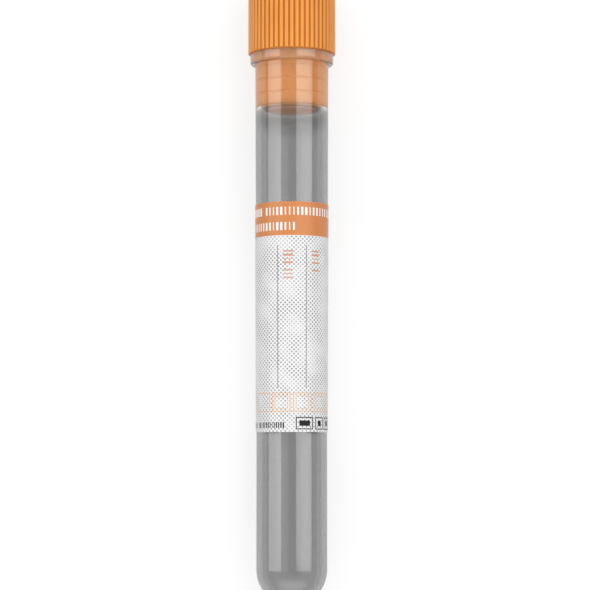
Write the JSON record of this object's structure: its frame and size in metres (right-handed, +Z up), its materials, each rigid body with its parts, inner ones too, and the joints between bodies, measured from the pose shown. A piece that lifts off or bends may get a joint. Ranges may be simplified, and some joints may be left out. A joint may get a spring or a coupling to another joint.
{
  "type": "blood collection tube",
  "caption": "Clear round-bottomed blood collection tube lying on its side, with a wrapped label and a ribbed orange push stopper that pulls off along the tube.",
  "frame": {"origin": "on the surface that the tube lies on, under the middle of its length", "axes": "+Y runs along the tube from the round bottom to the stopper, +Z is up and the label's face looks up. The tube's own axis rises 0.959 degrees towards +Y, because the stopper is wider than the round bottom"},
  "size_m": [0.0154, 0.111, 0.0157],
  "materials": {
    "tube": "clear, polished, faintly grey",
    "stopper": "orange polyethylene with a soft sheen",
    "label": "satin white film with a fine grey dot pattern and an orange band at the top"
  },
  "bodies": {
    "tube": {"tube": "tube", "label": "label"},
    "stopper": {"stopper": "stopper"}
  },
  "joints": [
    {"name": "stopper_pull", "type": "slide", "parent": "tube", "child": "stopper", "axis": [0, 0.9999, 0.0167], "range_m": [0, 0.03]}
  ]
}
